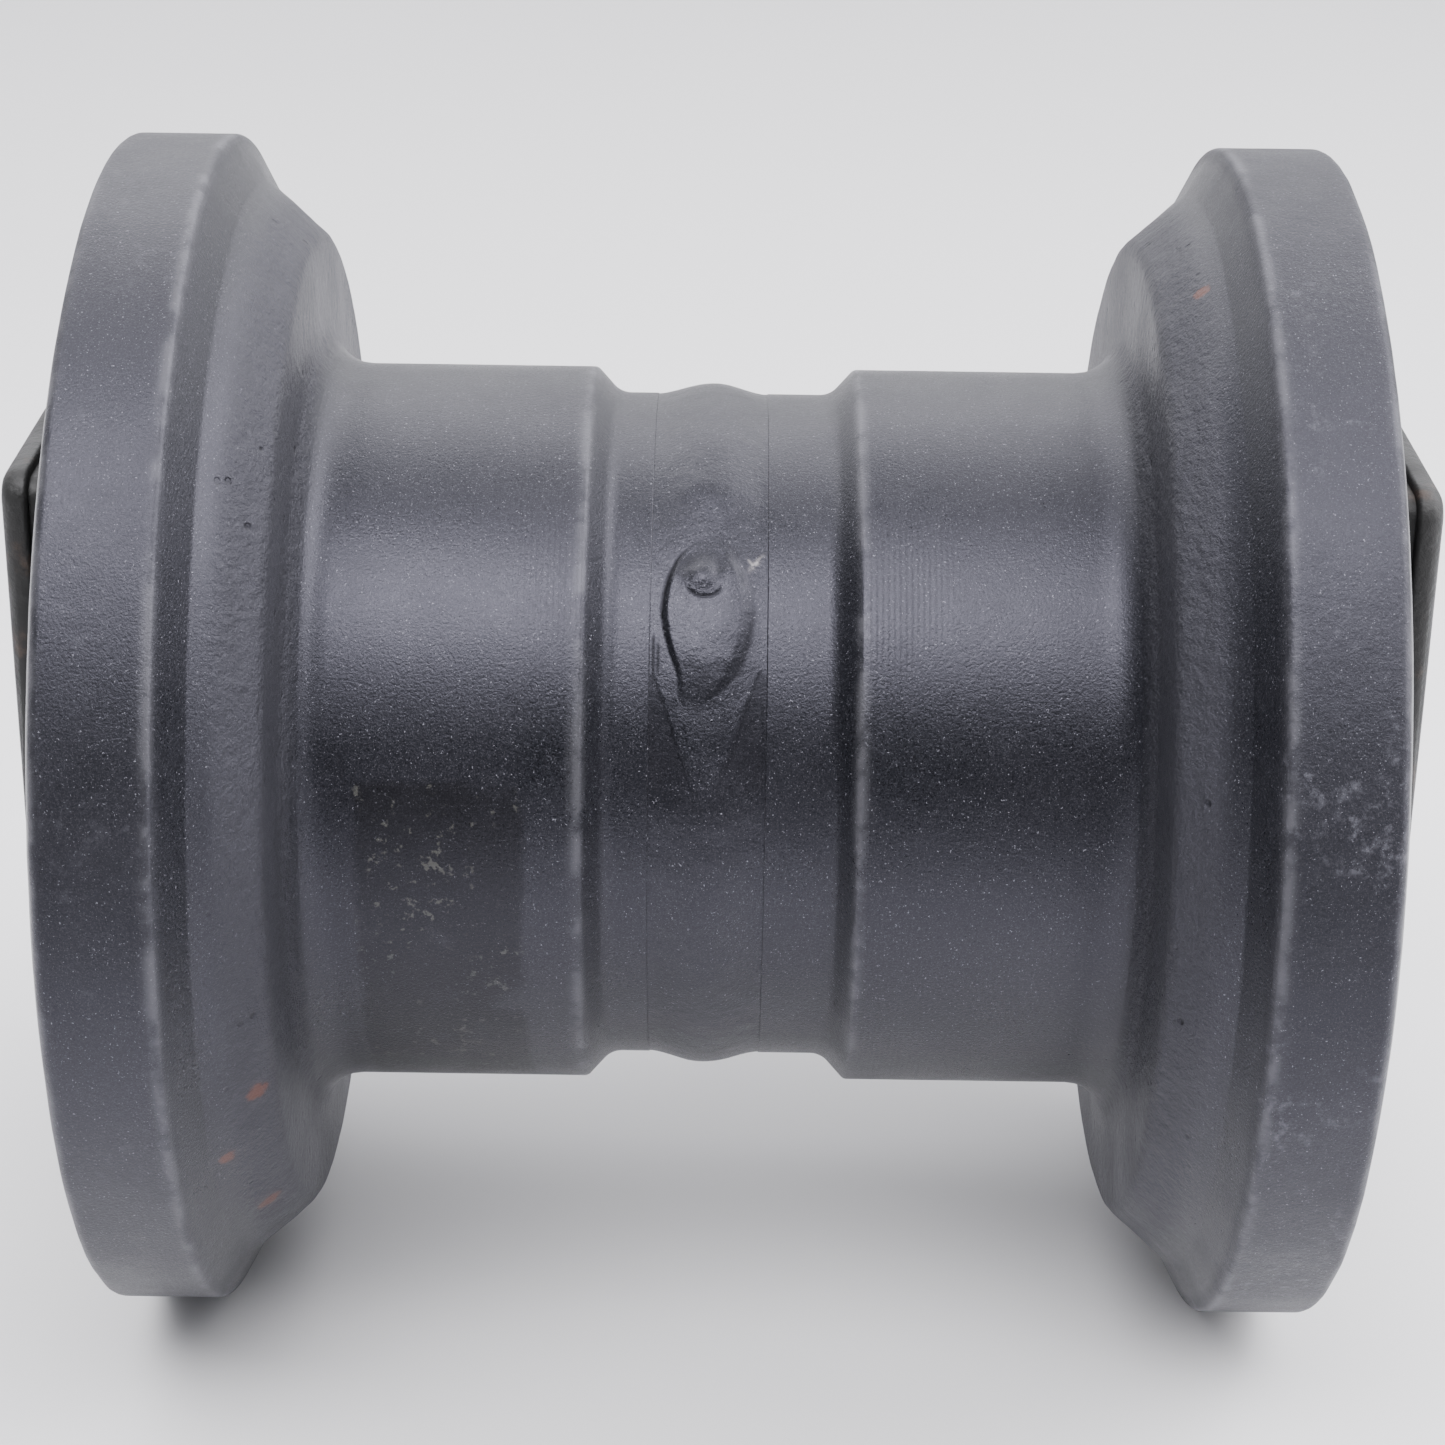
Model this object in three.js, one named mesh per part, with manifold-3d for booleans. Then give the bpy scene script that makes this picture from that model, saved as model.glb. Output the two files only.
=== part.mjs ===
// Track roller for a compact excavator, in millimetres.
// The roller turns about the X axis; +Z points up to the collars' flat seats.
// The origin is the middle of the roller, on its axis.
import * as THREE from "three";
import { mergeVertices } from "three/addons/utils/BufferGeometryUtils.js";
import Module from "manifold-3d";

const wasm = await Module();
wasm.setup();

// ---- Driving dimensions ----

const GAP = 0.3; // between pieces that touch on the real roller
const ROUND_BODY = 40; // facets round the roller body
const ROUND_SHAFT = 32; // facets round the shaft and collars
const ROUND_SEAL = 24; // facets round the bushes and seals
const ROUND_PIN = 16; // facets round pins and holes

// Roller body: radii and distances from its middle
const FLANGE_R = 80;
const FLANGE_FACE_X = 80.9;
const FLANGE_INNER_X = 66.9;
const TREAD_R = 49.2;
const TREAD_END_X = 48.2;
const TREAD_FILLET = 6;
const GROOVE_R = 45.7;
const GROOVE_MIDDLE_X = 0.2;
const GROOVE_HALF = 13.2;
const GROOVE_FILLET = 2;
const STEP_RISE_X = 4.9;
const WALL_TOP = [54.6, 64.8];
const CONE_START = [56.5, 68.3];
const CONE_END = [62.4, 73.6];
const EDGE = 1.1; // broken edges of the flange

// Weld between the halves
const WELD_X = -1.5;
const WELD_HALF = 7.5;
const WELD_ROOT_R = 38;
const WELD_ROOT_HALF = 1;
const WELD_CROWN_R = 47.2;

// Inside of the body
const CHAMBER_R = 27;
const CHAMBER_END_X = 18;
const BUSH_BORE_R = 21.8;
const THRUST_X = 57;
const HUB_FACE_X = 66;
const HUB_FACE_R = 53;
const DISH_CORNER = 4;
const DISH_R = 64;
const SEAL_BORE_R = 36;
const SEAL_BORE_TAPER = 0.5; // wider than that radius at the mouth, and narrower at the bottom

// Bushes
const BUSH_INNER_X = 21;
const BUSH_FLANGE = 3;
const BUSH_FLANGE_R = 24.5;

// Shaft
const SHAFT_R = 17.5;
const SHAFT_END_X = 88.5;
const SHAFT_CHAMFER = 1.5;
const OIL_HOLE_R = 4;
const CROSS_HOLE_R = 2.5;
const O_RING_X = 77.5;
const O_RING_R = 1.1;
const O_RING_GROOVE = 2.4;
const O_RING_GROOVE_HALF = 1.6;

// Face seals: one ring each side of the sealing plane, each held by a rubber toric
const SEAL_PLANE_X = HUB_FACE_X;
const SEAL_FACE_GAP = 0.15;
const SEAL_BORE_IN = 26;
const SEAL_RIM_R = 33.5;
const SEAL_RIM = 1.9;
const SEAL_NECK_R = 30.4;
const SEAL_LENGTH = 5;
const TORIC_R = 2.1;
const TORIC_MIDDLE_R = 32.9;
const TORIC_FROM_FACE = 4.5;

// Collars
const COLLAR_BORE_R = SHAFT_R + GAP;
const SLEEVE_R = 24.5;
const CUP_R = 44;
const CUP_FLOOR_X = 74;
const CUP_BACK_X = 76.5;
const CUP_START_X = HUB_FACE_X + 0.7;
const HUB_R = 34;
const HUB_END_X = 90.4;
const LIP_TOP_Z = 46.2;
const LIP_Y = 32.2;
const LIP_CORNER = 4;
const LIP_START_X = 87.4;
const SEAT_STEP = 1.2; // how far the seat and the flanks lie below the lip at the collar's end
const LUG_START_X = 75.5;
const LUG_END_X = 91;
const LUG_CHAMFER = 1.6;
const LUG_CURVE = 6; // facets of each curve of its outline
const BOLT_Y = 18.5;
const BOLT_Z = 27;
const BOLT_HOLE_R = 6;
const BOLT_HOLE_DEPTH = 13;
const DRILL_POINT = 3;

// Lock pins and oil plug
const PIN_R = 4;
const PIN_X = 84;
const PIN_Z = -15;
const PIN_HALF = 27.5;
const PLUG_LENGTH = 9;
const PLUG_INSET = 0.5;
const PLUG_HEX = 4;
const PLUG_HEX_DEPTH = 4;

// ---- Materials ----

const paint = (color, roughness, metalness) => ({ color, roughness, metalness });
const BODY_PAINT = paint(0x3a3f47, 0.5, 0.3);
const WELD_PAINT = paint(0x34393f, 0.55, 0.3);
const COLLAR_PAINT = paint(0x3d3f3e, 0.6, 0.3);
const STEEL = paint(0x9a9c9e, 0.3, 1);
const BRONZE = paint(0xa9834a, 0.35, 1);
const SEAL_IRON = paint(0x6d6f72, 0.25, 1);
const RUBBER = paint(0x151515, 0.8, 0);
const PIN_STEEL = paint(0x4a4b4d, 0.35, 1);
const PLUG_STEEL = paint(0x7b7d80, 0.4, 1);

// ---- Geometry helpers ----

// Turns a list of [x, radius] points about the X axis. A profile that isn't on the axis closes on itself.
function revolve(outline, facets) {
  const points = outline.map(([x, radius]) => new THREE.Vector2(radius, x));
  if (THREE.ShapeUtils.area(points) < 0) points.reverse();
  const onAxis = points[0].x === 0 && points.at(-1).x === 0;
  if (!onAxis) points.push(points[0].clone());
  return new THREE.LatheGeometry(points, facets).rotateZ(-Math.PI / 2);
}

// Points of a circular arc in the [x, radius] plane, from one angle to another in degrees.
function arc(x, radius, size, from, to, steps) {
  return Array.from({ length: steps + 1 }, (_, i) => {
    const angle = THREE.MathUtils.degToRad(from + ((to - from) * i) / steps);
    return [x + size * Math.cos(angle), radius + size * Math.sin(angle)];
  });
}

// The same outline on the side given: 1 for the right, -1 for the left.
const onSide = (outline, side) => outline.map(([x, radius]) => [side * x, radius]);

// A ring of six-sided section.
const ring = (x, middle, size) => revolve(arc(x, middle, size, 30, 330, 5), ROUND_SEAL);

// A plain round bar between two points of the X axis.
function bar(from, to, radius, facets) {
  return revolve([[from, 0], [from, radius], [to, radius], [to, 0]], facets);
}

function toSolid(geometry) {
  const bare = geometry.clone();
  bare.deleteAttribute("normal");
  bare.deleteAttribute("uv");
  const merged = mergeVertices(bare, 1e-4);
  const vertProperties = merged.attributes.position.array;
  const triVerts = new Uint32Array(merged.index.array);
  return new wasm.Manifold(new wasm.Mesh({ numProp: 3, vertProperties, triVerts }));
}

function toGeometry(solid) {
  const mesh = solid.getMesh();
  const geometry = new THREE.BufferGeometry();
  geometry.setAttribute("position", new THREE.BufferAttribute(mesh.vertProperties, 3));
  geometry.setIndex(new THREE.BufferAttribute(mesh.triVerts, 1));
  geometry.computeVertexNormals();
  return geometry;
}

// Cuts each tool out of a geometry.
function cut(geometry, tools) {
  return toGeometry(tools.reduce((left, tool) => left.subtract(toSolid(tool)), toSolid(geometry)));
}

// ---- Roller body ----

// Each half runs from the weld's butt plane out to the flange; the groove and the weld lie a little off the middle.
function shellHalf(side) {
  const grooveEnd = GROOVE_HALF + side * GROOVE_MIDDLE_X;
  const weld = side * WELD_X;
  const outside = [
    [weld + GAP / 2, WELD_ROOT_R],
    [weld + WELD_ROOT_HALF, WELD_ROOT_R],
    [weld + WELD_HALF, GROOVE_R],
    [grooveEnd, GROOVE_R],
    [grooveEnd + GROOVE_FILLET, GROOVE_R + GROOVE_FILLET / 3],
    [grooveEnd + STEP_RISE_X, TREAD_R],
    ...arc(TREAD_END_X, TREAD_R + TREAD_FILLET, TREAD_FILLET, -90, -5, 3),
    WALL_TOP,
    CONE_START,
    CONE_END,
    [FLANGE_INNER_X - EDGE, FLANGE_R - EDGE / 2],
    [FLANGE_INNER_X, FLANGE_R],
    [FLANGE_FACE_X - 2 * EDGE, FLANGE_R],
    [FLANGE_FACE_X - EDGE, FLANGE_R - EDGE],
    [FLANGE_FACE_X, FLANGE_R - 3 * EDGE],
  ];
  const end = [
    [FLANGE_FACE_X, DISH_R],
    [HUB_FACE_X + DISH_CORNER, HUB_FACE_R + DISH_CORNER],
    [HUB_FACE_X, HUB_FACE_R],
    [HUB_FACE_X, SEAL_BORE_R + SEAL_BORE_TAPER],
    [THRUST_X, SEAL_BORE_R - SEAL_BORE_TAPER],
  ];
  const inside = [
    [THRUST_X, BUSH_BORE_R],
    [CHAMBER_END_X, BUSH_BORE_R],
    [CHAMBER_END_X, CHAMBER_R],
    [weld + GAP / 2, CHAMBER_R],
  ];
  return revolve(onSide([...outside, ...end, ...inside], side), ROUND_BODY);
}

// The weld fills the V between the halves and stands proud of the groove in a low crown.
function weldBead() {
  const crown = WELD_CROWN_R - GROOVE_R - GAP;
  const top = Array.from({ length: 5 }, (_, i) => {
    const across = 1 - i / 2;
    return [WELD_X + across * WELD_HALF, GROOVE_R + GAP + crown * (1 - across * across)];
  });
  const root = [
    [WELD_X - WELD_ROOT_HALF, WELD_ROOT_R + GAP],
    [WELD_X + WELD_ROOT_HALF, WELD_ROOT_R + GAP],
  ];
  return revolve([...root, ...top], ROUND_BODY);
}

function bush(side) {
  const flangeX = THRUST_X + GAP;
  const outline = [
    [BUSH_INNER_X, SHAFT_R + GAP],
    [BUSH_INNER_X, BUSH_BORE_R - GAP],
    [flangeX, BUSH_BORE_R - GAP],
    [flangeX, BUSH_FLANGE_R],
    [flangeX + BUSH_FLANGE, BUSH_FLANGE_R],
    [flangeX + BUSH_FLANGE, SHAFT_R + GAP],
  ];
  return revolve(onSide(outline, side), ROUND_SEAL);
}

// ---- Face seals ----

// way is -1 for the ring on the roller's side of the sealing plane and 1 for the ring on the collar's side.
function sealRing(side, way) {
  const face = SEAL_PLANE_X + way * SEAL_FACE_GAP;
  const outline = [
    [face, SEAL_BORE_IN],
    [face, SEAL_RIM_R],
    [face + way * SEAL_RIM, SEAL_RIM_R],
    [face + way * SEAL_RIM, SEAL_NECK_R],
    [face + way * SEAL_LENGTH, SEAL_NECK_R],
    [face + way * SEAL_LENGTH, SEAL_BORE_IN],
  ];
  return revolve(onSide(outline, side), ROUND_SEAL);
}

function sealToric(side, way) {
  return ring(side * (SEAL_PLANE_X + way * TORIC_FROM_FACE), TORIC_MIDDLE_R, TORIC_R);
}

// ---- Shaft and what is in it ----

function shaft() {
  const grooveAt = (x) => [
    [x - O_RING_GROOVE_HALF, SHAFT_R],
    [x - O_RING_GROOVE_HALF, SHAFT_R - O_RING_GROOVE],
    [x + O_RING_GROOVE_HALF, SHAFT_R - O_RING_GROOVE],
    [x + O_RING_GROOVE_HALF, SHAFT_R],
  ];
  const outline = [
    [-SHAFT_END_X, 0],
    [-SHAFT_END_X, SHAFT_R - SHAFT_CHAMFER],
    [-SHAFT_END_X + SHAFT_CHAMFER, SHAFT_R],
    ...grooveAt(-O_RING_X),
    ...grooveAt(O_RING_X),
    [SHAFT_END_X - SHAFT_CHAMFER, SHAFT_R],
    [SHAFT_END_X, SHAFT_R - SHAFT_CHAMFER],
    [SHAFT_END_X, OIL_HOLE_R],
    [0, OIL_HOLE_R],
    [-OIL_HOLE_R / 2, 0],
  ];
  const crossHole = new THREE.CylinderGeometry(CROSS_HOLE_R, CROSS_HOLE_R, 2 * SHAFT_R + 2, ROUND_PIN)
    .rotateX(Math.PI / 2)
    .translate(OIL_HOLE_R, 0, 0);
  return cut(revolve(outline, ROUND_SHAFT), [crossHole, pinHole(-1), pinHole(1)]);
}

function pinHole(side) {
  const radius = PIN_R + GAP;
  return new THREE.CylinderGeometry(radius, radius, 2 * CUP_R, ROUND_PIN).translate(side * PIN_X, 0, PIN_Z);
}

function lockPin(side) {
  return new THREE.CylinderGeometry(PIN_R, PIN_R, 2 * PIN_HALF, ROUND_PIN).translate(side * PIN_X, 0, PIN_Z);
}

const oRing = (side) => ring(side * O_RING_X, SHAFT_R - O_RING_R + GAP / 3, O_RING_R);

function oilPlug() {
  const end = SHAFT_END_X - PLUG_INSET;
  const radius = OIL_HOLE_R - GAP;
  const plug = bar(end - PLUG_LENGTH, end, radius, ROUND_PIN);
  const hexRadius = PLUG_HEX / Math.sqrt(3);
  const hex = bar(end - PLUG_HEX_DEPTH, end + 1, hexRadius, 6);
  return cut(plug, [hex]);
}

// ---- Collars ----

// The D-shaped outline across the axis: flat on top, with straight flanks and a round underside.
function lugShape(inset) {
  const flank = LIP_Y - inset;
  const corner = LIP_CORNER - inset;
  const cornerY = LIP_Y - LIP_CORNER;
  const cornerZ = LIP_TOP_Z - LIP_CORNER;
  const shape = new THREE.Shape();
  shape.moveTo(flank, 0);
  shape.lineTo(flank, cornerZ);
  shape.absarc(cornerY, cornerZ, corner, 0, Math.PI / 2);
  shape.absarc(-cornerY, cornerZ, corner, Math.PI / 2, Math.PI);
  shape.lineTo(-flank, 0);
  shape.absarc(0, 0, flank, Math.PI, 2 * Math.PI);
  return shape;
}

// A D-shaped block with chamfered ends between two distances from the roller's middle.
function lugBlock(side, from, to, inset) {
  const block = new THREE.ExtrudeGeometry(lugShape(inset), {
    depth: to - from - 2 * LUG_CHAMFER,
    bevelThickness: LUG_CHAMFER,
    bevelSize: LUG_CHAMFER,
    bevelOffset: -LUG_CHAMFER,
    bevelSegments: 1,
    curveSegments: LUG_CURVE,
  });
  const alongX = new THREE.Matrix4().makeBasis(
    new THREE.Vector3(0, 1, 0),
    new THREE.Vector3(0, 0, 1),
    new THREE.Vector3(1, 0, 0),
  );
  const lowX = side > 0 ? from : -to;
  return block.applyMatrix4(alongX).translate(lowX + LUG_CHAMFER, 0, 0);
}

function boltHole(side, y) {
  const inner = LUG_END_X - BOLT_HOLE_DEPTH;
  return revolve(
    onSide([[inner - DRILL_POINT, 0], [inner, BOLT_HOLE_R], [LUG_END_X + 1, BOLT_HOLE_R], [LUG_END_X + 1, 0]], side),
    ROUND_PIN,
  ).translate(0, y, BOLT_Z);
}

// A sleeve that runs against the bush, a cup for the face seal, a round hub, and the D-shaped lug with its end lip.
function collar(side) {
  const sleeveX = THRUST_X + BUSH_FLANGE + 2 * GAP;
  const turned = [
    [sleeveX, COLLAR_BORE_R],
    [sleeveX, SLEEVE_R],
    [CUP_FLOOR_X, SLEEVE_R],
    [CUP_FLOOR_X, SEAL_BORE_R - SEAL_BORE_TAPER],
    [CUP_START_X, SEAL_BORE_R + SEAL_BORE_TAPER],
    [CUP_START_X, CUP_R - EDGE],
    [CUP_START_X + EDGE, CUP_R],
    [CUP_BACK_X, CUP_R],
    [CUP_BACK_X, HUB_R],
    [HUB_END_X - EDGE, HUB_R],
    [HUB_END_X, HUB_R - EDGE],
    [HUB_END_X, COLLAR_BORE_R],
  ];
  const seatBlock = toSolid(lugBlock(side, LUG_START_X, LIP_START_X + 2 * LUG_CHAMFER, SEAT_STEP));
  const lip = toSolid(lugBlock(side, LIP_START_X, LUG_END_X, 0));
  const whole = toSolid(revolve(onSide(turned, side), ROUND_SHAFT)).add(seatBlock).add(lip);
  const bore = bar(side * (sleeveX - 1), side * (LUG_END_X + 1), COLLAR_BORE_R, ROUND_SHAFT);
  return cut(toGeometry(whole), [bore, boltHole(side, -BOLT_Y), boltHole(side, BOLT_Y), pinHole(side)]);
}

// ---- Assembly ----

function piece(name, geometry, finish) {
  const mesh = new THREE.Mesh(geometry, new THREE.MeshStandardMaterial(finish));
  mesh.name = name;
  return mesh;
}

const turning = new THREE.Group();
const standing = new THREE.Group();

turning.add(piece("weld_bead", weldBead(), WELD_PAINT));
standing.add(piece("shaft", shaft(), STEEL));
standing.add(piece("oil_plug", oilPlug(), PLUG_STEEL));

for (const [word, side] of [["left", -1], ["right", 1]]) {
  turning.add(piece(`${word}_shell_half`, shellHalf(side), BODY_PAINT));
  turning.add(piece(`${word}_bush`, bush(side), BRONZE));
  turning.add(piece(`${word}_roller_seal_ring`, sealRing(side, -1), SEAL_IRON));
  turning.add(piece(`${word}_roller_seal_toric`, sealToric(side, -1), RUBBER));
  standing.add(piece(`${word}_collar`, collar(side), COLLAR_PAINT));
  standing.add(piece(`${word}_collar_seal_ring`, sealRing(side, 1), SEAL_IRON));
  standing.add(piece(`${word}_collar_seal_toric`, sealToric(side, 1), RUBBER));
  standing.add(piece(`${word}_collar_o_ring`, oRing(side), RUBBER));
  standing.add(piece(`${word}_lock_pin`, lockPin(side), PIN_STEEL));
}

const group = new THREE.Group();
group.add(turning, standing);
export default group;
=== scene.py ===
"""Looks of the track roller: fine meshes, paint, floor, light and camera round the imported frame.

Sizes are in millimetres up to the point where a mesh is made, and metres from there on.
"""
import math

import bmesh
import bpy
import numpy as np
from mathutils import Matrix, Vector, noise


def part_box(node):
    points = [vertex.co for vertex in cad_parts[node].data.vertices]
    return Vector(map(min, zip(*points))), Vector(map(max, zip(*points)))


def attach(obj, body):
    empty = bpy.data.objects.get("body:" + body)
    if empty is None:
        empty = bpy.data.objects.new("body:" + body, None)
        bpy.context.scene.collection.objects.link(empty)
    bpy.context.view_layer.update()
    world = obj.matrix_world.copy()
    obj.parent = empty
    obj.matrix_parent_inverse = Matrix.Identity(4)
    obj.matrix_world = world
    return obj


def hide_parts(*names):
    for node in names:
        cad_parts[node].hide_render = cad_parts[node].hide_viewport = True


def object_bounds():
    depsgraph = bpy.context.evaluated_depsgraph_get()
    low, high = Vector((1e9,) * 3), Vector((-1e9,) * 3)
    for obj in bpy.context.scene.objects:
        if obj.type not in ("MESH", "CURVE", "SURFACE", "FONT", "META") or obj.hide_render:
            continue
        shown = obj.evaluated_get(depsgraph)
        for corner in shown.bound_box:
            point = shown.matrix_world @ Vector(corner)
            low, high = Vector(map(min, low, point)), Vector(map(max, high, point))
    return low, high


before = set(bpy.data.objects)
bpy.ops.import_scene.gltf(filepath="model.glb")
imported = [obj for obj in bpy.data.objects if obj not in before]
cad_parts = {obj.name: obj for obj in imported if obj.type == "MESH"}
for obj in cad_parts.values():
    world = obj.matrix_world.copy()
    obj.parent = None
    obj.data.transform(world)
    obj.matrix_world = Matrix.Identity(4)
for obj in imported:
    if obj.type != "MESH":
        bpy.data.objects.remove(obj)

MM = 0.001
CAD_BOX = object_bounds()
BODY = "roller"
STAND = "shaft_and_collars"

# ---- Sizes ----


def size_of(node, corner, axis):
    """One coordinate of a CAD node's box, in mm."""
    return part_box(node)[corner][axis] / MM


FLANGE_R = size_of("right_shell_half", 1, 2)
FLANGE_FACE_X = size_of("right_shell_half", 1, 0)
WELD_CROWN_R = size_of("weld_bead", 1, 2)
WELD_LOW_X = size_of("weld_bead", 0, 0)
WELD_HIGH_X = size_of("weld_bead", 1, 0)
WELD_X = (WELD_LOW_X + WELD_HIGH_X) / 2
WELD_HALF = (WELD_HIGH_X - WELD_LOW_X) / 2
SHAFT_R = size_of("shaft", 1, 2)
SHAFT_END_X = size_of("shaft", 1, 0)
COLLAR_END_X = size_of("right_collar", 1, 0)
SLEEVE_X = size_of("right_collar", 0, 0)
LIP_TOP_Z = size_of("right_collar", 1, 2)
CUP_R = size_of("right_collar", 1, 1)
BUSH_INNER_X = size_of("right_bush", 0, 0)
BUSH_END_X = size_of("right_bush", 1, 0)
BUSH_FLANGE_R = size_of("right_bush", 1, 2)
PIN_X = (size_of("right_lock_pin", 0, 0) + size_of("right_lock_pin", 1, 0)) / 2
PIN_Z = (size_of("right_lock_pin", 0, 2) + size_of("right_lock_pin", 1, 2)) / 2
PIN_HALF = size_of("right_lock_pin", 1, 1)
PIN_R = size_of("right_lock_pin", 1, 0) - PIN_X
PLUG_END_X = size_of("oil_plug", 1, 0)
PLUG_START_X = size_of("oil_plug", 0, 0)
PLUG_R = size_of("oil_plug", 1, 2)
SEAL_PLANE_X = (size_of("right_roller_seal_ring", 1, 0) + size_of("right_collar_seal_ring", 0, 0)) / 2
SEAL_RIM_R = size_of("right_collar_seal_ring", 1, 2)
O_RING_X = (size_of("right_collar_o_ring", 0, 0) + size_of("right_collar_o_ring", 1, 0)) / 2

GAP = 0.3  # between pieces that touch on the real roller

# Roller body: radii and distances from its middle, as (x, radius) where both are given
TREAD_R = 49.2
GROOVE_R = 45.7
GROOVE_MIDDLE_X = 0.2
GROOVE_HALF = 13.2
STEP_START = 1.2
STEP_END = 4.4
WALL_FOOT_X = 54.2
WALL_TOP = (54.7, 66.6)
CONE_END = (62.7, 73.7)
FLANGE_INNER_X = 66.1
FACE_CHAMFER = 0.9
FACE_CHAMFER_DEPTH = 3.2
DISH_MOUTH_R = 65
DISH_FLOOR = (70.5, 57.5)
HUB_FACE_R = 53
WELD_ROOT_R = 38
WELD_ROOT_HALF = 1
BUSH_BORE_R = 21.8
CHAMBER_R = 27
CHAMBER_END_X = 18
CHAMBER_CONE = 3
THRUST_X = 57
HUB_FACE_X = 66
SEAL_BORE_R = 36
SEAL_BORE_TAPER = 0.5

# Face seals
SEAL_BORE_IN = 26
SEAL_RIM = 1.9
SEAL_NECK = 2.2
SEAL_NECK_R = 30.4
SEAL_LENGTH = 5
TORIC_R = 2.08
TORIC_MIDDLE_R = 32.85
TORIC_FROM_FACE = 4.5
O_RING_R = 1.1

# Shaft and plug
SHAFT_CHAMFER = 1.5
OIL_HOLE_R = 4
CROSS_HOLE_R = 2.5
O_RING_GROOVE = 2.4
O_RING_GROOVE_HALF = 1.6
PLUG_HEX = 4
PLUG_HEX_DEPTH = 4

# Collars
LIP_Y = 32.2
LIP_CORNER = 4
LIP_START_X = 87.4
SEAT_STEP = 1.2
LUG_START_X = 75.5
HUB_R = 34
HUB_END_X = 90.4
CUP_START_X = HUB_FACE_X + 0.7
CUP_FLOOR_X = 74
CUP_BACK_X = 76.5
BOLT_Y = 18.5
BOLT_Z = 27
BOLT_R = 6
BOLT_DEPTH = 13
THREAD_PITCH = 2.0
THREAD_DEPTH = 0.85

# The weld's end crater: its angle above the front in degrees, the size of its egg-shaped pool across the
# bead and along it, how far the egg's lower tip leans, and the place of the pool's last drop
CRATER_ANGLE = 38.4
EGG_HALF = 5.9
EGG_TOP = 12.6
EGG_TIP = -10.9
EGG_LEAN = -2.2
NIPPLE = (-1.0, 6.9)

# ---- Outlines ----


def rounded(corners, steps=6):
    """A closed outline of (x, radius from the axis) from corners given as (x, radius, rounding)."""
    points = []
    count = len(corners)
    for i, (x, r, size) in enumerate(corners):
        here = np.array([x, r])
        if not size:
            points.append(tuple(here))
            continue
        before = np.array(corners[i - 1][:2]) - here
        after = np.array(corners[(i + 1) % count][:2]) - here
        a = before / np.linalg.norm(before)
        b = after / np.linalg.norm(after)
        half = math.acos(np.clip(a @ b, -1, 1)) / 2
        reach = size / math.tan(half)
        middle = here + (a + b) / np.linalg.norm(a + b) * size / math.sin(half)
        start = here + a * reach - middle
        end = here + b * reach - middle
        turn = math.atan2(start[0] * end[1] - start[1] * end[0], start @ end)
        for k in range(steps + 1):
            angle = turn * k / steps
            c, s = math.cos(angle), math.sin(angle)
            points.append(tuple(middle + [c * start[0] - s * start[1], s * start[0] + c * start[1]]))
    return points


def divided(outline, longest):
    """The outline with its long straight stretches cut into shorter ones."""
    points = []
    for (x0, r0), (x1, r1) in zip(outline, outline[1:] + outline[:1]):
        parts = max(1, math.ceil(math.hypot(x1 - x0, r1 - r0) / longest))
        points += [(x0 + (x1 - x0) * k / parts, r0 + (r1 - r0) * k / parts) for k in range(parts)]
    return points


def even(count):
    """Angles evenly round the circle."""
    return [math.tau * k / count for k in range(count)]


def circle_outline(x, r, size, steps=24):
    return [(x + size * math.cos(a), r + size * math.sin(a)) for a in even(steps)]


# ---- Meshes ----


def finish_mesh(name, mesh, sharp=35):
    """Makes an object of a mesh, with outward faces and smooth shading between its sharp edges."""
    bm = bmesh.new()
    bm.from_mesh(mesh)
    bmesh.ops.remove_doubles(bm, verts=bm.verts, dist=1e-7)
    bmesh.ops.recalc_face_normals(bm, faces=bm.faces)
    bm.to_mesh(mesh)
    bm.free()
    mesh.shade_smooth()
    mesh.set_sharp_from_angle(angle=math.radians(sharp))
    obj = bpy.data.objects.new(name, mesh)
    bpy.context.scene.collection.objects.link(obj)
    return obj


def revolve_mesh(name, outline, angles, side=1, offset=None):
    """A mesh turned about X from a closed outline in mm.

    Angles run up from the front. offset(x, r, angle) moves each point out from the axis.
    """
    rows = len(outline)
    points = []
    for angle in angles:
        for x, r in outline:
            out = r + (offset(x, r, angle) if offset else 0)
            points.append((side * x * MM, -out * math.cos(angle) * MM, out * math.sin(angle) * MM))
    count = len(angles)
    faces = []
    for i in range(count):
        j = (i + 1) % count
        for k in range(rows):
            m = (k + 1) % rows
            faces.append((i * rows + k, j * rows + k, j * rows + m, i * rows + m))
    mesh = bpy.data.meshes.new(name)
    mesh.from_pydata(points, [], faces)
    return mesh


def turned(name, corners, side=1, count=160, steps=4):
    """A turned piece from rounded corners."""
    return finish_mesh(name, revolve_mesh(name, rounded(corners, steps), even(count), side))


def rod(name, low, high, r, count=64, edge=0.0, axis="X", at=(0, 0, 0)):
    """A round bar with broken edges along X or Y, through the point at, in mm."""
    rings = [(low, r), (high, r)]
    if edge:
        rings = [(low, r - edge), (low + edge, r), (high - edge, r), (high, r - edge)]
    points = []
    for x, radius in rings:
        for angle in even(count):
            c, s = radius * math.cos(angle), radius * math.sin(angle)
            p = (x, c, s) if axis == "X" else (c, x, s)
            points.append(tuple((a + b) * MM for a, b in zip(p, at)))
    faces = [tuple(range(count)), tuple(range((len(rings) - 1) * count, len(rings) * count))]
    for k in range(len(rings) - 1):
        for i in range(count):
            j = (i + 1) % count
            faces.append((k * count + i, k * count + j, (k + 1) * count + j, (k + 1) * count + i))
    mesh = bpy.data.meshes.new(name)
    mesh.from_pydata(points, [], faces)
    return finish_mesh(name, mesh)


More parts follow.
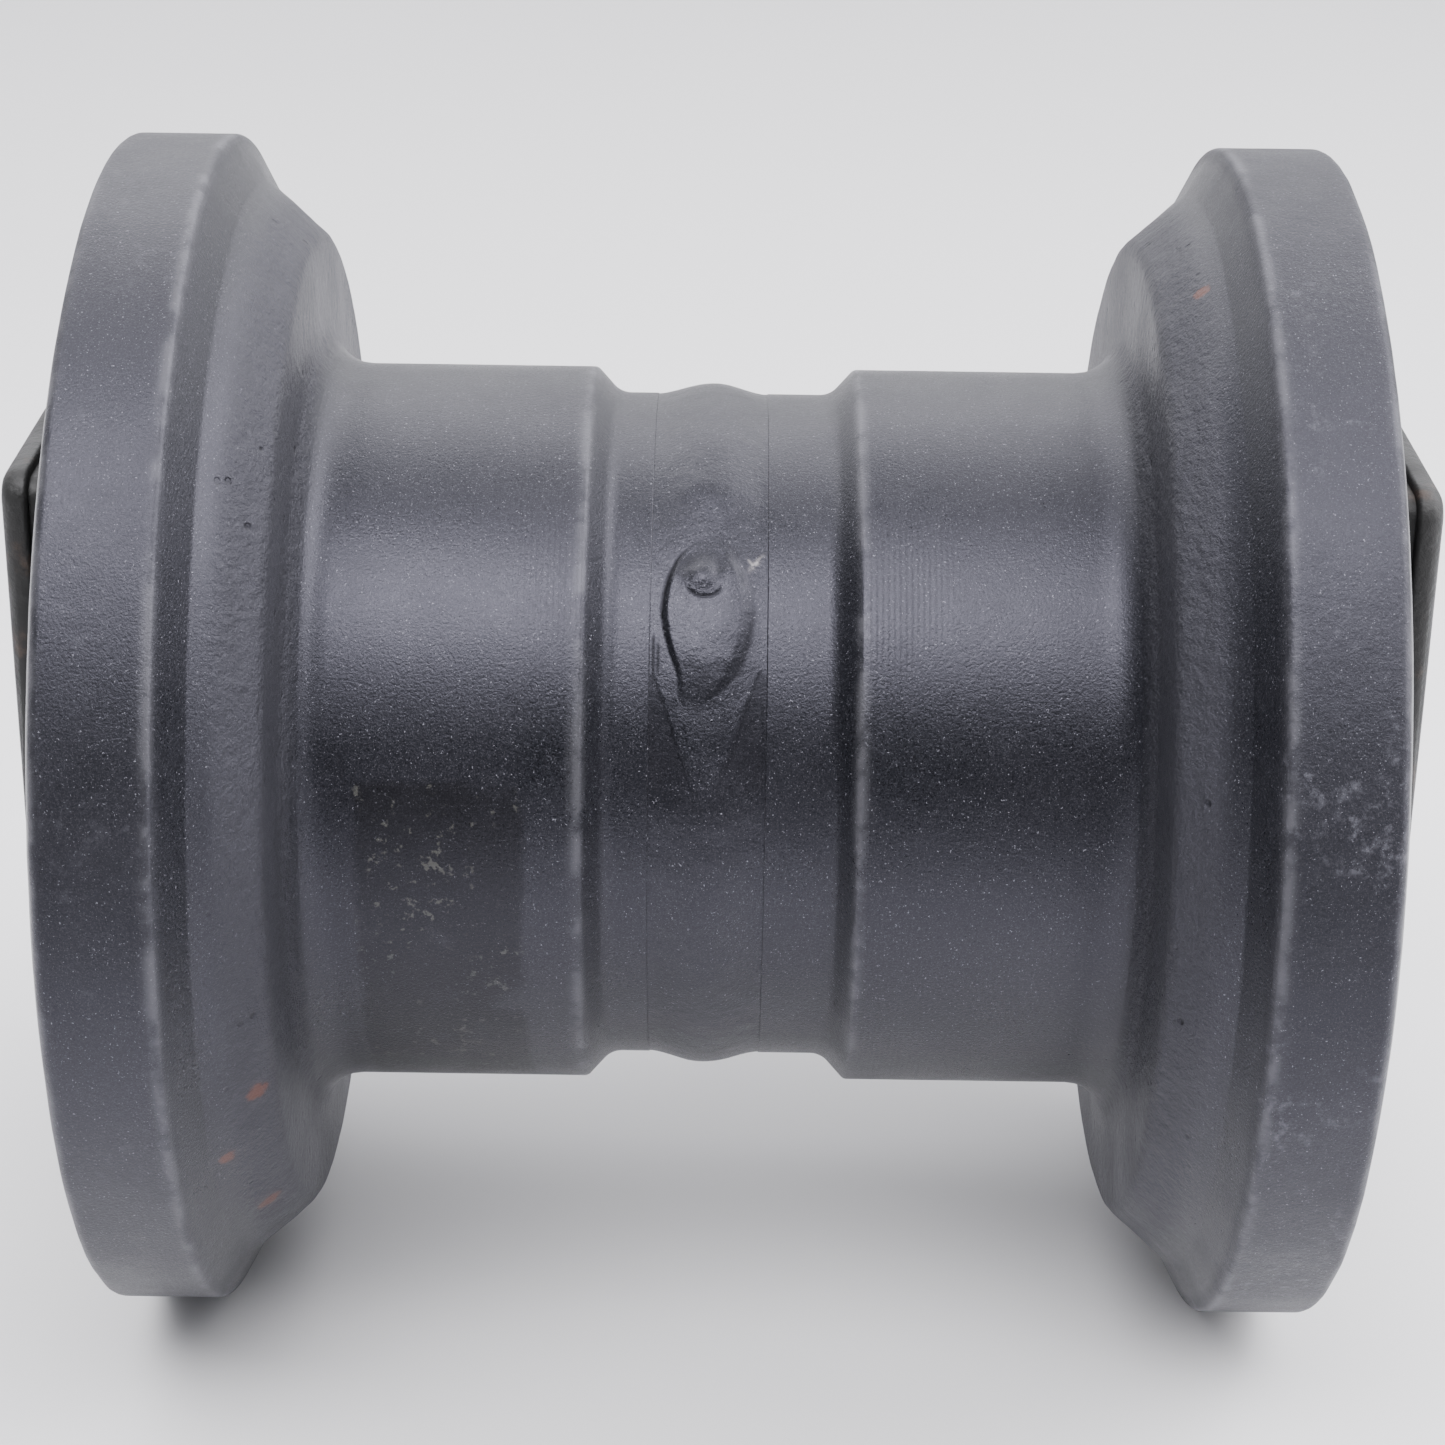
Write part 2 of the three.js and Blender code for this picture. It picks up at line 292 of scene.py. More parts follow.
def combine(obj, other, how):
    """Joins other to obj, or cuts it out of obj, and removes it."""
    modifier = obj.modifiers.new(how, "BOOLEAN")
    modifier.operation = how
    modifier.solver = "EXACT"
    modifier.object = other
    bpy.context.view_layer.update()
    result = bpy.data.meshes.new_from_object(obj.evaluated_get(bpy.context.evaluated_depsgraph_get()))
    obj.modifiers.clear()
    old = obj.data
    obj.data = result
    bpy.data.meshes.remove(old)
    bpy.data.objects.remove(other)
    result.shade_smooth()
    result.set_sharp_from_angle(angle=math.radians(35))
    return obj


def smoothstep(low, high, value):
    """Rises smoothly from 0 at low to 1 at high; it falls where low is the greater."""
    t = min(1.0, max(0.0, (value - low) / (high - low)))
    return t * t * (3 - 2 * t)


def rough(x, r, angle, scale, seed):
    """Smooth noise from -1 to 1 on the surface, with features of about the given size in mm."""
    p = Vector((x / scale + seed, r * math.cos(angle) / scale, r * math.sin(angle) / scale))
    return noise.noise(p) + 0.5 * noise.noise(p * 2.1)


# ---- Roller body ----


def shell_corners(side):
    """The section of one half of the body, from the weld outwards and back along the bore."""
    weld = side * WELD_X
    groove = GROOVE_HALF + side * GROOVE_MIDDLE_X
    return [
        (weld + GAP / 2, WELD_ROOT_R, 0),
        (weld + WELD_ROOT_HALF, WELD_ROOT_R, 0),
        (weld + WELD_HALF, GROOVE_R, 0.25),
        (groove + STEP_START, GROOVE_R, 3.2),
        (groove + STEP_END, TREAD_R, 1.1),
        (WALL_FOOT_X, TREAD_R, 6),
        (*WALL_TOP, 3.4),
        (*CONE_END, 2.2),
        (FLANGE_INNER_X, FLANGE_R, 1.0),
        (FLANGE_FACE_X - FACE_CHAMFER, FLANGE_R, 1.3),
        (FLANGE_FACE_X, FLANGE_R - FACE_CHAMFER_DEPTH, 0.9),
        (FLANGE_FACE_X, DISH_MOUTH_R, 1.6),
        (*DISH_FLOOR, 5),
        (HUB_FACE_X, HUB_FACE_R, 1.2),
        (HUB_FACE_X, SEAL_BORE_R + SEAL_BORE_TAPER, 0.4),
        (THRUST_X, SEAL_BORE_R - SEAL_BORE_TAPER, 0.6),
        (THRUST_X, BUSH_BORE_R, 0.4),
        (CHAMBER_END_X, BUSH_BORE_R, 0.5),
        (CHAMBER_END_X - CHAMBER_CONE, CHAMBER_R, 1),
        (weld + GAP / 2, CHAMBER_R, 0),
    ]


def cast_share(x, r):
    """1 where the surface is left as forged: on the wall and shoulder inside the flange and in the dish."""
    wall = smoothstep(51.5, 53.5, x) * (1 - smoothstep(58, 62, x)) * smoothstep(50, 53, r)
    dish = smoothstep(HUB_FACE_X - 0.5, HUB_FACE_X + 1, x) * smoothstep(40, 44, r)
    return max(wall, dish * (1 - smoothstep(62, 68, r)))


def edge_share(x, r):
    """1 on the body's outer corners, where paint wears thin and a painted highlight lightens the edge."""
    corners = (
        (FLANGE_INNER_X + 0.3, FLANGE_R - 0.2),
        (FLANGE_FACE_X - FACE_CHAMFER, FLANGE_R - 0.5),
        (GROOVE_HALF + STEP_END + 0.2, TREAD_R - 0.2),
    )
    return max(math.exp(-(((x - a) ** 2 + (r - b) ** 2) / 0.6)) for a, b in corners)


def rim_share(x, r):
    """1 on the flange's rim."""
    return smoothstep(FLANGE_R - 2.5, FLANGE_R - 0.6, r)


def lathe_share(x, r):
    """1 where the cutter's feed shows: the treads next to the groove."""
    on_tread = smoothstep(TREAD_R - 0.6, TREAD_R - 0.1, r) * smoothstep(TREAD_R + 1, TREAD_R + 0.2, r)
    return on_tread * smoothstep(33, 24, x)


def stain_share(x, y, z):
    """A vague darker patch on the front of the left tread."""
    angle = math.degrees(math.atan2(z, -y))
    across = smoothstep(-47.6, -44.6, x) * smoothstep(-22.6, -25.8, x)
    along = smoothstep(17, 11.5, angle) * smoothstep(-86, -55, angle)
    return across * along * smoothstep(TREAD_R + 2, TREAD_R + 0.5, math.hypot(y, z))


# Rust spots on the shoulders: the x, the angle above the front in degrees and the size of each
RUST_SPOTS = (
    (-61, -26.9, 1.5),
    (-56.9, -19.7, 1.9),
    (-58, -42, 2.2),
    (-59.5, 128, 2.4),
    (57.5, 205, 2.6),
    (60, 74, 1.6),
)


def rust_share(x, y, z):
    """1 in the middle of each rust spot."""
    angle = math.degrees(math.atan2(z, -y))
    r = math.hypot(y, z)
    share = 0.0
    for spot_x, spot_angle, size in RUST_SPOTS:
        turn = math.radians((angle - spot_angle + 180) % 360 - 180)
        distance = math.hypot(x - spot_x, r * turn)
        share = max(share, smoothstep(size, size * 0.3, distance))
    return share if r > TREAD_R + 4 else 0.0


def paint_points(obj, word, share):
    """Stores share(x, y, z), with the place in mm, at each point of a piece for its paint to read."""
    layer = obj.data.attributes.new(word, "FLOAT", "POINT")
    layer.data.foreach_set("value", [share(*(v.co / MM)) for v in obj.data.vertices])


def shell_half(name, side):
    """One half of the body, with the shares that its paint reads."""

    def offset(x, r, angle):
        if r < SEAL_BORE_R + 2:
            return 0
        skin = cast_share(x, r)
        wave = 0.22 * skin * rough(side * x, r, angle, 9, 3)
        wave += 0.07 * skin * rough(side * x, r, angle, 2.4, 8)
        worn = 0.05 * smoothstep(66, 70, r) * rough(side * x, r, angle, 14, 5)
        corner = 0.3 * smoothstep(FLANGE_FACE_X - 2.2, FLANGE_FACE_X - 0.8, x) * smoothstep(74, 77, r)
        return wave - abs(worn) - corner * abs(rough(side * x, r, angle, 11, 14))

    outline = divided(rounded(shell_corners(side)), 0.8)
    mesh = revolve_mesh(name, outline, even(460), side, offset)
    obj = finish_mesh(name, mesh, 50)
    shares = {"cast": cast_share, "edge": edge_share, "rim": rim_share, "lathe": lathe_share}
    for word, share in shares.items():
        paint_points(obj, word, lambda x, y, z, share=share: share(abs(x), math.hypot(y, z)))
    paint_points(obj, "stain", stain_share)
    paint_points(obj, "rust", rust_share)
    return obj


def egg(u, v):
    """How far a point is inside the pool's egg-shaped edge, as a share of its half width."""
    lean = EGG_LEAN * smoothstep(-5.5, -11.5, v)
    if v > 2:
        half = EGG_HALF * math.sqrt(max(0.0, 1 - ((v - 2) / (EGG_TOP - 2)) ** 2))
    else:
        half = EGG_HALF * max(0.0, 1 - ((2 - v) / (2 - EGG_TIP)) ** 1.5) ** 0.6
    beyond = max(0.0, v - EGG_TOP, EGG_TIP - v)
    return (half - abs(u - lean) - beyond) / EGG_HALF


def bump_at(u, v, u0, v0, across, along):
    """1 at one place of the bead, fading out over the given sizes."""
    return math.exp(-(((u - u0) / across) ** 2) - ((v - v0) / along) ** 2)


def crater(u, v):
    """Height of the weld's end over the plain bead, in mm, at u across the bead and v up along it."""
    inside = egg(u, v)
    depth = inside * EGG_HALF
    rise = 0.7 + 1.3 * smoothstep(-2.5, 3.5, u)
    dome = smoothstep(0, rise, depth) * smoothstep(EGG_TIP - 0.5, -2.5, v) * smoothstep(13, 6.5, v)
    height = 0.55 * dome - 0.2 * wedge(u, v) * (0.4 + 0.6 * smoothstep(-8, -14, v))
    height -= 0.13 * left_crease(u, v)
    hollow = 0.3 * bump_at(u, v, -2.8, 9.0, 1.7, 2.0) + 0.2 * bump_at(u, v, 1.2, 8.6, 0.9, 2.2)
    height -= hollow * smoothstep(0, 0.8, depth)
    height += 0.75 * bump_at(u, v, *NIPPLE, 1.9, 1.9) + 0.2 * bump_at(u, v, 2.7, 7.2, 1.2, 2.4)
    return height - 0.16 * crescent(u, v)


def wedge(u, v):
    """1 in the two lower wedges beside the weld's tapering tail."""
    tail_half = 6.3 + 0.33 * min(0, v + 6.4)
    beside = smoothstep(tail_half, tail_half + 0.3, abs(u + 0.3))
    return beside * smoothstep(-5.6, -6.6, v) * smoothstep(-25, -17, v)


def left_crease(u, v):
    """1 along the sharp crease on the left of the weld pool."""
    if u > EGG_LEAN * smoothstep(-5.5, -11.5, v):
        return 0.0
    wide = 0.09 + 0.13 * smoothstep(-4, 6, v)
    along = smoothstep(12.3, 10, v) * smoothstep(-11.2, -9.5, v) * (0.45 + 0.55 * smoothstep(-9, -1, v))
    return along * math.exp(-(((egg(u, v) * EGG_HALF + 0.05) / wide) ** 2))


def crescent(u, v):
    """1 along the fold under the pool's last drop."""
    x, y = u - NIPPLE[0], v - NIPPLE[1]
    ring = math.exp(-(((math.hypot(x - 0.4, y + 0.1) - 2.75) / 0.17) ** 2))
    return ring * smoothstep(-1.2, -2.2, y)


def crater_painted_shade(u, v):
    """How dark the weld's end is painted, from 0 to 1: painted shade in its creases, folds, wedges and
    hollows, and two thin darker lines.
    """
    inside = egg(u, v)
    depth = inside * EGG_HALF
    pool = smoothstep(-0.1, 0.5, depth)
    right = math.exp(-(((depth - 0.3) / 0.5) ** 2)) * smoothstep(6, -1, v)
    right *= smoothstep(EGG_TIP - 1, -9, v)
    # Painted shade: the left crease, the fold under the last drop, the wedges and the pool's lower part and
    # hollows
    shade = max(0.85 * left_crease(u, v), 0.65 * crescent(u, v), 0.42 * wedge(u, v))
    shade = max(shade, 0.45 * right * smoothstep(-1, 2, u))
    shade = max(shade, pool * 0.35 * bump_at(u, v, 0.6, -7.8, 3.2, 2.6))
    shade = max(shade, pool * 0.3 * bump_at(u, v, -2.8, 9.4, 1.7, 1.6))
    shade = max(shade, pool * 0.2 * bump_at(u, v, 1.3, 8.8, 0.7, 1.8))
    # Two thin darker lines above the left wedge
    for line, low, high in ((-6.95, -7, -0.5), (-6.35, -6.6, -1.6)):
        dark_line = 0.8 * math.exp(-(((u - line) / 0.17) ** 2))
        shade = max(shade, dark_line * smoothstep(low, low + 1, v) * smoothstep(high, high - 1, v))
    # Painted shade along the pool's upper edge
    rim = 0.3 * math.exp(-((depth / 0.3) ** 2)) * smoothstep(8, 11, v)
    return max(shade, rim)


def crater_nick(u, v):
    """1 on a small scraped mark beside the weld's end."""
    up = v - 9.4
    first = bump_at(0.8 * (u - 5.9) - 0.6 * up, 0.6 * (u - 5.9) + 0.8 * up, 0, 0, 0.28, 1.1)
    second = bump_at(0.8 * (u - 5.2) + 0.6 * up, 0.8 * up - 0.6 * (u - 5.2), 0, 0, 0.16, 0.7)
    return min(1.0, 0.9 * first + 0.6 * second)


def bead_place(x, angle):
    """Where a point of the bead lies, across it from its middle and up along it from its end crater."""
    turn = (angle - math.radians(CRATER_ANGLE) + math.pi) % math.tau - math.pi
    return x - WELD_X, WELD_CROWN_R * turn


def weld_angles():
    """Angles round the bead, close together at the crater."""
    middle = math.radians(CRATER_ANGLE)
    low, high = middle - math.radians(30), middle + math.radians(21)
    fine = [low + (high - low) * k / 230 for k in range(230)]
    rest = [high + (low + math.tau - high) * k / 330 for k in range(330)]
    return fine + rest


def weld_bead(name):
    """The bead: a rounded crown that turns flat and dips round the end crater."""
    columns = 80
    half = WELD_HALF - 0.1
    edge = GROOVE_R - 0.1
    crown = WELD_CROWN_R - 0.12 - edge
    top = []
    for k in range(columns + 1):
        across = 1 - 2 * k / columns
        rise = (0.5 + 0.5 * math.cos(math.pi * across)) ** 0.8
        top.append((WELD_X + across * half, edge + crown * rise))
    low, high = WELD_X - WELD_ROOT_HALF, WELD_X + WELD_ROOT_HALF
    root = [(low, WELD_ROOT_R + GAP), (high, WELD_ROOT_R + GAP)]

    def offset(x, r, angle):
        if r < GROOVE_R - 1:
            return 0
        u, v = bead_place(x, angle)
        inner = smoothstep(0, 0.8, half - abs(u))
        flat = 0.55 * smoothstep(-26, -15, v) * smoothstep(22, 12, v)
        ripple = 0.06 * rough(x, r, angle, 5, 21) + 0.02 * rough(x, r, angle, 1.6, 33)
        return inner * (ripple + crater(u, v) - flat * (r - edge))

    obj = finish_mesh(name, revolve_mesh(name, root + top, weld_angles(), 1, offset), 60)
    for word, share in (("shade", crater_painted_shade), ("edge", crater_nick)):
        paint_points(obj, word, lambda x, y, z, share=share: share(*bead_place(x, math.atan2(z, -y))))
    return obj


def bush(name, side):
    flange_x = THRUST_X + GAP
    corners = [
        (BUSH_INNER_X, SHAFT_R + GAP, 0.5),
        (BUSH_INNER_X, BUSH_BORE_R - GAP, 1),
        (flange_x, BUSH_BORE_R - GAP, 0.2),
        (flange_x, BUSH_FLANGE_R, 0.5),
        (BUSH_END_X, BUSH_FLANGE_R, 0.5),
        (BUSH_END_X, SHAFT_R + GAP, 0.6),
    ]
    return turned(name, corners, side)


# ---- Face seals ----


def seal_ring(name, side, way):
    face = SEAL_PLANE_X + way * GAP / 2
    corners = [
        (face, SEAL_BORE_IN, 0.2),
        (face, SEAL_RIM_R, 0.3),
        (face + way * SEAL_RIM, SEAL_RIM_R, 0.5),
        (face + way * SEAL_NECK, SEAL_NECK_R, 0.9),
        (face + way * SEAL_LENGTH, SEAL_NECK_R, 0.5),
        (face + way * SEAL_LENGTH, SEAL_BORE_IN, 0.4),
    ]
    return turned(name, corners, side)


def toric(name, side, way):
    outline = circle_outline(SEAL_PLANE_X + way * TORIC_FROM_FACE, TORIC_MIDDLE_R, TORIC_R)
    return finish_mesh(name, revolve_mesh(name, outline, even(160), side))


def o_ring(name, side):
    outline = circle_outline(O_RING_X, SHAFT_R - 1, O_RING_R, 16)
    return finish_mesh(name, revolve_mesh(name, outline, even(128), side))


# ---- Shaft, plug and pins ----


def pin_tool(side):
    """The cutter of a lock pin's hole."""
    return rod("pin_tool", -60, 60, PIN_R + 0.15, axis="Y", at=(side * PIN_X, 0, PIN_Z))


def shaft(name):
    """The fixed axle: oil gallery from the right, centre mark on the left, grooves and cross holes."""

    def groove(x):
        low, high, floor = x - O_RING_GROOVE_HALF, x + O_RING_GROOVE_HALF, SHAFT_R - O_RING_GROOVE
        return [(low, SHAFT_R, 0.3), (low, floor, 0.4), (high, floor, 0.4), (high, SHAFT_R, 0.3)]

    corners = [
        (-SHAFT_END_X + 5.5, 0.4, 0),
        (-SHAFT_END_X + 4.2, 1.6, 0),
        (-SHAFT_END_X, 4.2, 0.3),
        (-SHAFT_END_X, SHAFT_R - SHAFT_CHAMFER, 0.3),
        (-SHAFT_END_X + SHAFT_CHAMFER, SHAFT_R, 0.4),
        *groove(-O_RING_X),
        *groove(O_RING_X),
        (SHAFT_END_X - SHAFT_CHAMFER, SHAFT_R, 0.4),
        (SHAFT_END_X, SHAFT_R - SHAFT_CHAMFER, 0.3),
        (SHAFT_END_X, OIL_HOLE_R + 0.8, 0.1),
        (SHAFT_END_X - 0.8, OIL_HOLE_R, 0.1),
        (0, OIL_HOLE_R, 0),
        (-2, 0.4, 0),
    ]
    obj = turned(name, corners)
    for side in (-1, 1):
        combine(obj, pin_tool(side), "DIFFERENCE")
    cross_hole = rod("cross_tool", -30, 30, CROSS_HOLE_R, axis="Y", at=(OIL_HOLE_R, 0, 0))
    return combine(obj, cross_hole, "DIFFERENCE")


def oil_plug(name):
    obj = rod(name, PLUG_START_X, PLUG_END_X, PLUG_R, edge=0.4)
    hexagon = rod("hex_tool", PLUG_END_X - PLUG_HEX_DEPTH, PLUG_END_X + 1, PLUG_HEX / math.sqrt(3), 6)
    return combine(obj, hexagon, "DIFFERENCE")


def lock_pin(name, side):
    return rod(name, -PIN_HALF, PIN_HALF, PIN_R, edge=0.6, axis="Y", at=(side * PIN_X, 0, PIN_Z))


# ---- Collars ----

QUARTER = [math.radians(90 * k / 5) for k in range(6)]


def lug_outline(inset, arc_steps=12):
    """The D-shaped outline, moved in by inset: flat on top, straight flanks, round underside."""
    flank, corner = LIP_Y - inset, max(0.3, LIP_CORNER - inset)
    middle_y, middle_z = flank - corner, LIP_TOP_Z - inset - corner
    points = []
    for centre, start in ((middle_y, 0), (-middle_y, 90)):
        for k in range(arc_steps + 1):
            a = math.radians(start + 90 * k / arc_steps)
            points.append((centre + corner * math.cos(a), middle_z + corner * math.sin(a)))
    for k in range(5 * arc_steps + 1):
        a = math.radians(180 + 180 * k / (5 * arc_steps))
        points.append((flank * math.cos(a), flank * math.sin(a)))
    return points


def lug_block(name, side, low, high, inset, low_edge, high_edge):
    """A D-shaped block between two distances from the middle, with a rounded edge at each end."""
    levels = [(low + low_edge * (1 - math.cos(a)), inset + low_edge * (1 - math.sin(a))) for a in QUARTER]
    for a in QUARTER[::-1]:
        levels.append((high - high_edge * (1 - math.cos(a)), inset + high_edge * (1 - math.sin(a))))
    count = len(lug_outline(0))
    points = [(side * x * MM, y * MM, z * MM) for x, level in levels for y, z in lug_outline(level)]
    faces = [tuple(range(count)), tuple(range((len(levels) - 1) * count, len(levels) * count))]
    for k in range(len(levels) - 1):
        for i in range(count):
            j = (i + 1) % count
            faces.append((k * count + i, k * count + j, (k + 1) * count + j, (k + 1) * count + i))
    mesh = bpy.data.meshes.new(name)
    mesh.from_pydata(points, [], faces)
    return finish_mesh(name, mesh)


def thread_tool(side, y):
    """A bolt hole's cutter: a helical thread, a countersunk mouth and a drilled point."""
    per_turn, count = 8, 48
    low, high = COLLAR_END_X - BOLT_DEPTH, COLLAR_END_X + 1
    rows = int((high - low) / THREAD_PITCH * per_turn)
    points = [(low - 3, 0, 0)]
    for k in range(rows + 1):
        x = low + (high - low) * k / rows
        for angle in even(count):
            turn = (x / THREAD_PITCH - side * angle / math.tau) % 1
            thread = THREAD_DEPTH * (1 - abs(2 * turn - 1)) * smoothstep(low, low + 1.5, x)
            mouth = max(0, x - (COLLAR_END_X - 1.1))
            r = max(BOLT_R + thread, BOLT_R + mouth)
            points.append((x, r * math.cos(angle), r * math.sin(angle)))
    points.append((high, 0, 0))
    last = len(points) - 1
    faces = []
    for i in range(count):
        j = (i + 1) % count
        faces.append((0, 1 + j, 1 + i))
        faces.append((last, 1 + rows * count + i, 1 + rows * count + j))
        for k in range(rows):
            a, b = 1 + k * count, 1 + (k + 1) * count
            faces.append((a + i, a + j, b + j, b + i))
    mesh = bpy.data.meshes.new("thread_tool")
    placed = [(side * px * MM, (py + y) * MM, (pz + BOLT_Z) * MM) for px, py, pz in points]
    mesh.from_pydata(placed, [], faces)
    return finish_mesh("thread_tool", mesh)


def collar(name, side):
    """A turned cup, sleeve and hub joined with the D-shaped lug, then bored, threaded and notched."""
    bore = SHAFT_R + GAP
    corners = [
        (SLEEVE_X, bore, 0.4),
        (SLEEVE_X, BUSH_FLANGE_R, 0.6),
        (CUP_FLOOR_X, BUSH_FLANGE_R, 1),
        (CUP_FLOOR_X, SEAL_BORE_R - SEAL_BORE_TAPER, 1),
        (CUP_START_X, SEAL_BORE_R + SEAL_BORE_TAPER, 0.4),
        (CUP_START_X, CUP_R, 1.2),
        (CUP_BACK_X, CUP_R, 1.2),
        (CUP_BACK_X + 0.6, HUB_R, 1.5),
        (HUB_END_X, HUB_R, 1.1),
        (HUB_END_X, bore, 0.4),
    ]
    obj = turned(name, corners, side, 144)
    seat_block = lug_block("seat_block", side, LUG_START_X, LIP_START_X + 1.5, SEAT_STEP, 1.6, 0.1)
    end_lip = lug_block("end_lip", side, LIP_START_X, COLLAR_END_X, 0, 0.7, 2.2)
    combine(obj, seat_block, "UNION")
    combine(obj, end_lip, "UNION")
    low, high = sorted((side * (SLEEVE_X - 2), side * (COLLAR_END_X + 2)))
    combine(obj, rod("bore_tool", low, high, bore, 144), "DIFFERENCE")
    for y in (-BOLT_Y, BOLT_Y):
        combine(obj, thread_tool(side, y), "DIFFERENCE")
    combine(obj, pin_tool(side), "DIFFERENCE")
    return obj


# ---- Materials ----


RAMP_ENDS = ("From Min", "From Max", "To Min", "To Max")


class Paint:
    """Makes the node tree of one material, with short calls for the nodes that it uses."""

    def __init__(self, name):
        self.material = bpy.data.materials.new(name)
        self.material.use_nodes = True
        self.tree = self.material.node_tree
        self.shader = self.tree.nodes["Principled BSDF"]
        self.place = self.tree.nodes.new("ShaderNodeTexCoord").outputs["Object"]

    def link(self, source, socket):
        if isinstance(source, (int, float, tuple)):
            socket.default_value = source
        else:
            self.tree.links.new(source, socket)

    def stretched(self, scale):
        """The place in metres, scaled along each axis."""
        node = self.tree.nodes.new("ShaderNodeMapping")
        node.inputs["Scale"].default_value = scale
        self.link(self.place, node.inputs["Vector"])
        return node.outputs["Vector"]

    def noise(self, scale, detail=2.0, rough=0.5, vector=None):
        node = self.tree.nodes.new("ShaderNodeTexNoise")
        node.inputs["Scale"].default_value = scale
        node.inputs["Detail"].default_value = detail
        node.inputs["Roughness"].default_value = rough
        self.link(vector or self.place, node.inputs["Vector"])
        return node.outputs["Fac"]

    def cells(self, scale, vector=None):
        node = self.tree.nodes.new("ShaderNodeTexVoronoi")
        node.inputs["Scale"].default_value = scale
        self.link(vector or self.place, node.inputs["Vector"])
        return node.outputs["Distance"]

    def ramp(self, value, low, high, out_low=0.0, out_high=1.0):
        node = self.tree.nodes.new("ShaderNodeMapRange")
        node.interpolation_type = "SMOOTHSTEP"
        for key, number in zip(RAMP_ENDS, (low, high, out_low, out_high)):
            node.inputs[key].default_value = number
        self.link(value, node.inputs["Value"])
        return node.outputs["Result"]

    def math(self, how, a, b=0.0):
        node = self.tree.nodes.new("ShaderNodeMath")
        node.operation = how
        self.link(a, node.inputs[0])
        self.link(b, node.inputs[1])
        return node.outputs[0]

    def product(self, *factors):
        result = factors[0]
        for factor in factors[1:]:
            result = self.math("MULTIPLY", result, factor)
        return result

    def mix(self, share, a, b):
        node = self.tree.nodes.new("ShaderNodeMix")
        node.data_type = "RGBA"
        self.link(share, node.inputs[0])
        self.link(a, node.inputs[6])
        self.link(b, node.inputs[7])
        return node.outputs[2]

    def attribute(self, name):
        node = self.tree.nodes.new("ShaderNodeAttribute")
        node.attribute_name = name
        return node.outputs["Fac"]

    def axis(self, index):
        node = self.tree.nodes.new("ShaderNodeSeparateXYZ")
        self.link(self.place, node.inputs[0])
        return node.outputs[index]

    def bump(self, height, strength, distance, after=None):
        node = self.tree.nodes.new("ShaderNodeBump")
        node.inputs["Strength"].default_value = strength
        node.inputs["Distance"].default_value = distance
        self.link(height, node.inputs["Height"])
        if after is not None:
            self.link(after, node.inputs["Normal"])
        return node.outputs["Normal"]

    def done(self, colour, roughness, normal, metallic=0.0):
        self.link(colour, self.shader.inputs["Base Color"])
        self.link(roughness, self.shader.inputs["Roughness"])
        self.link(metallic, self.shader.inputs["Metallic"])
        self.link(normal, self.shader.inputs["Normal"])
        return self.material


def rgb(r, g, b):
    return (r, g, b, 1.0)


def slate(p):
    """What all the body's paint shares: slate colour, its roughness and its fine grain."""
    blotch = p.noise(70, 5, 0.62)
    grain = p.noise(2600, 3, 0.7)
    speck = p.ramp(p.noise(3400, 2, 0.6), 0.66, 0.73)
    dot = p.ramp(p.noise(5200, 2, 0.7), 0.53, 0.68)
    hole = p.ramp(p.noise(4300, 2, 0.7), 0.5, 0.36)
    dust = p.product(p.ramp(p.noise(1100, 4, 0.75), 0.52, 0.7), p.ramp(p.noise(150, 4, 0.65), 0.42, 0.62))
    colour = p.mix(blotch, rgb(0.005, 0.006, 0.0075), rgb(0.0105, 0.0105, 0.013))
    colour = p.mix(p.product(dust, 0.5), colour, rgb(0.038, 0.038, 0.045))
    colour = p.mix(p.product(dot, 0.7), colour, rgb(0.055, 0.055, 0.063))
    colour = p.mix(hole, colour, rgb(0.001, 0.001, 0.0015))
    colour = p.mix(speck, colour, rgb(0.2, 0.2, 0.23))
    p.link(rgb(0.84, 0.83, 1.0), p.shader.inputs["Specular Tint"])
    mixed = p.math("ADD", p.product(grain, 0.5), p.product(blotch, 0.5))
    return colour, p.ramp(mixed, 0.35, 0.65, 0.26, 0.4), p.bump(grain, 0.75, 0.00012)


FEED = 0.74  # the cutter's feed on the treads


